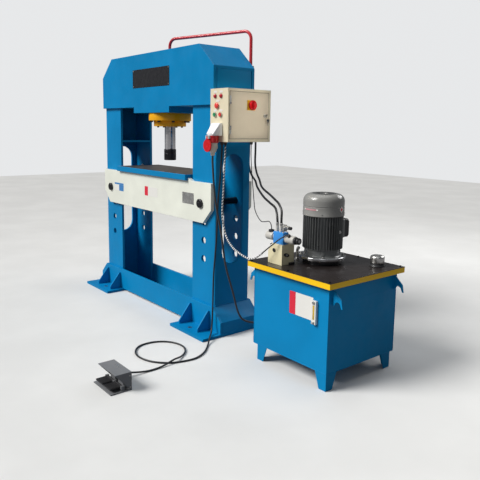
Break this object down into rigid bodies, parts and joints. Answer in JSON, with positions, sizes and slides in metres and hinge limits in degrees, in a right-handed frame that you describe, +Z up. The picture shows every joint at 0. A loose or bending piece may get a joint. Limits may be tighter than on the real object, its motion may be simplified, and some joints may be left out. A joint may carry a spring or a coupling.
{
  "type": "hydraulic press",
  "caption": "Two-column hydraulic workshop press with adjustable table, control box, separate power unit and foot switch.",
  "frame": {"origin": "on the floor, in the middle of the whole machine's floor plan, cables and hoses left out", "axes": "+X along the press from the left column past the control box to the power unit, +Y from the operator's side to the rear, +Z up"},
  "size_m": [3.065, 1.7096, 2.2274],
  "materials": {
    "press_blue": "satin light blue paint",
    "table_white": "satin white paint",
    "bare_steel": "machined, slightly worn",
    "bright_steel": "zinc plated",
    "chrome": "hard chromed and polished",
    "dark_steel": "blackened",
    "cylinder_orange": "orange-yellow paint",
    "pipe_red": "red paint",
    "box_beige": "fine textured beige powder coat",
    "signal_red": "smooth",
    "signal_green": "smooth",
    "plastic_white": "smooth",
    "motor_grey": "dark grey paint",
    "lid_black": "gloss black paint",
    "manifold_cream": "cream paint",
    "valve_blue": "blue paint",
    "pedal_grey": "grey paint",
    "cable_black": "cable sheath",
    "hose_black": "hydraulic hose",
    "wrap_white": "spiral wrap"
  },
  "bodies": {
    "press": {"left_column": "press_blue", "right_column": "press_blue", "beam_front_plate": "press_blue", "beam_rear_plate": "press_blue", "cylinder_seat": "press_blue", "beam_cap": "press_blue", "base_front_rail": "press_blue", "base_rear_rail": "press_blue", "left_foot": "press_blue", "right_foot": "press_blue", "table_front_plate": "table_white", "table_rear_plate": "table_white", "table_top": "bare_steel", "table_ribs": "press_blue", "lifting_eye": "bright_steel", "cylinder_barrel": "cylinder_orange", "cylinder_gland": "cylinder_orange", "top_port_pipe": "pipe_red", "lower_port_pipe": "pipe_red", "box_shell": "box_beige", "control_gear": "plastic_white", "signal_lamp_left": "signal_red", "signal_lamp_right": "signal_red", "socket_housing": "plastic_white", "power_plug": "plastic_white", "tank_body": "press_blue", "tank_lid": "lid_black", "level_gauge": "plastic_white", "motor_frame": "motor_grey", "fan_cover": "motor_grey", "pump": "bare_steel", "manifold_block": "manifold_cream", "valve_body": "valve_blue", "left_solenoid": "bright_steel", "right_solenoid": "bright_steel", "pedal_base": "pedal_grey", "pedal_hood": "pedal_grey", "plug_cable": "cable_black", "pedal_cable": "cable_black", "control_cable": "wrap_white", "solenoid_cable": "cable_black", "pressure_hose": "hose_black", "return_hose": "hose_black"},
    "ram": {"ram_rod": "chrome", "ram_head": "dark_steel", "piston": "bare_steel"},
    "left_pin": {"left_table_pin": "dark_steel"},
    "right_pin": {"right_table_pin": "dark_steel"},
    "door": {"box_door": "box_beige"},
    "lock": {"door_lock": "bright_steel"},
    "main_switch": {"main_switch_knob": "signal_red"},
    "estop": {"estop_button": "signal_red"},
    "start": {"start_button": "signal_green"},
    "stop": {"stop_button": "signal_red"},
    "lid": {"socket_lid": "signal_red"},
    "left_pedal": {"left_tread": "pedal_grey"},
    "right_pedal": {"right_tread": "pedal_grey"},
    "rotor": {"motor_rotor": "bare_steel"},
    "filler": {"filler_cap": "bright_steel"},
    "relief": {"relief_valve": "bright_steel"}
  },
  "joints": [
    {"name": "ram_stroke", "type": "slide", "parent": "press", "child": "ram", "axis": [0, 0, -1], "range_m": [-0.18, 0.07]},
    {"name": "left_pin_pull", "type": "slide", "parent": "press", "child": "left_pin", "axis": [0, -1, 0], "range_m": [0, 0.42]},
    {"name": "right_pin_pull", "type": "slide", "parent": "press", "child": "right_pin", "axis": [0, -1, 0], "range_m": [0, 0.42]},
    {"name": "box_door_hinge", "type": "hinge", "parent": "press", "child": "door", "pos_m": [0.5, 0.1965, 1.591], "axis": [0, 0, -1], "range_deg": [0, 110]},
    {"name": "door_lock_turn", "type": "hinge", "parent": "door", "child": "lock", "pos_m": [0.494, 0.5085, 1.591], "axis": [1, 0, 0], "range_deg": [0, 90]},
    {"name": "main_switch_turn", "type": "hinge", "parent": "door", "child": "main_switch", "pos_m": [0.494, 0.3795, 1.661], "axis": [-1, 0, 0], "range_deg": [0, 90]},
    {"name": "estop_press", "type": "slide", "parent": "press", "child": "estop", "axis": [0, 1, 0], "range_m": [0, 0.004]},
    {"name": "start_press", "type": "slide", "parent": "press", "child": "start", "axis": [0, 1, 0], "range_m": [0, 0.004], "stiffness_N_per_m": 800, "springref_m": -0.002},
    {"name": "stop_press", "type": "slide", "parent": "press", "child": "stop", "axis": [0, 1, 0], "range_m": [0, 0.004], "stiffness_N_per_m": 800, "springref_m": -0.002},
    {"name": "socket_lid_hinge", "type": "hinge", "parent": "press", "child": "lid", "pos_m": [0.3805, 0.0965, 1.436], "axis": [-1, 0, 0], "range_deg": [0, 80], "stiffness_Nm_per_rad": 0.02, "springref_deg": -34.38},
    {"name": "left_tread_hinge", "type": "hinge", "parent": "press", "child": "left_pedal", "pos_m": [0.5947, -0.7525, 0.026], "axis": [1, 0, 0], "range_deg": [0, 8], "stiffness_Nm_per_rad": 3, "springref_deg": -8.59},
    {"name": "right_tread_hinge", "type": "hinge", "parent": "press", "child": "right_pedal", "pos_m": [0.6923, -0.7525, 0.026], "axis": [1, 0, 0], "range_deg": [0, 8], "stiffness_Nm_per_rad": 3, "springref_deg": -8.59},
    {"name": "motor_spin", "type": "hinge", "parent": "press", "child": "rotor", "pos_m": [1.0795, 0.5115, 0.98], "axis": [0, 0, 1], "continuous": true},
    {"name": "filler_cap_turn", "type": "hinge", "parent": "press", "child": "filler", "pos_m": [1.3725, 0.7035, 0.6573], "axis": [0, 0, 1], "range_deg": [0, 90]},
    {"name": "relief_valve_turn", "type": "hinge", "parent": "press", "child": "relief", "pos_m": [0.9668, 0.2855, 0.8856], "axis": [1, 0, 0], "range_deg": [-180, 180]}
  ]
}
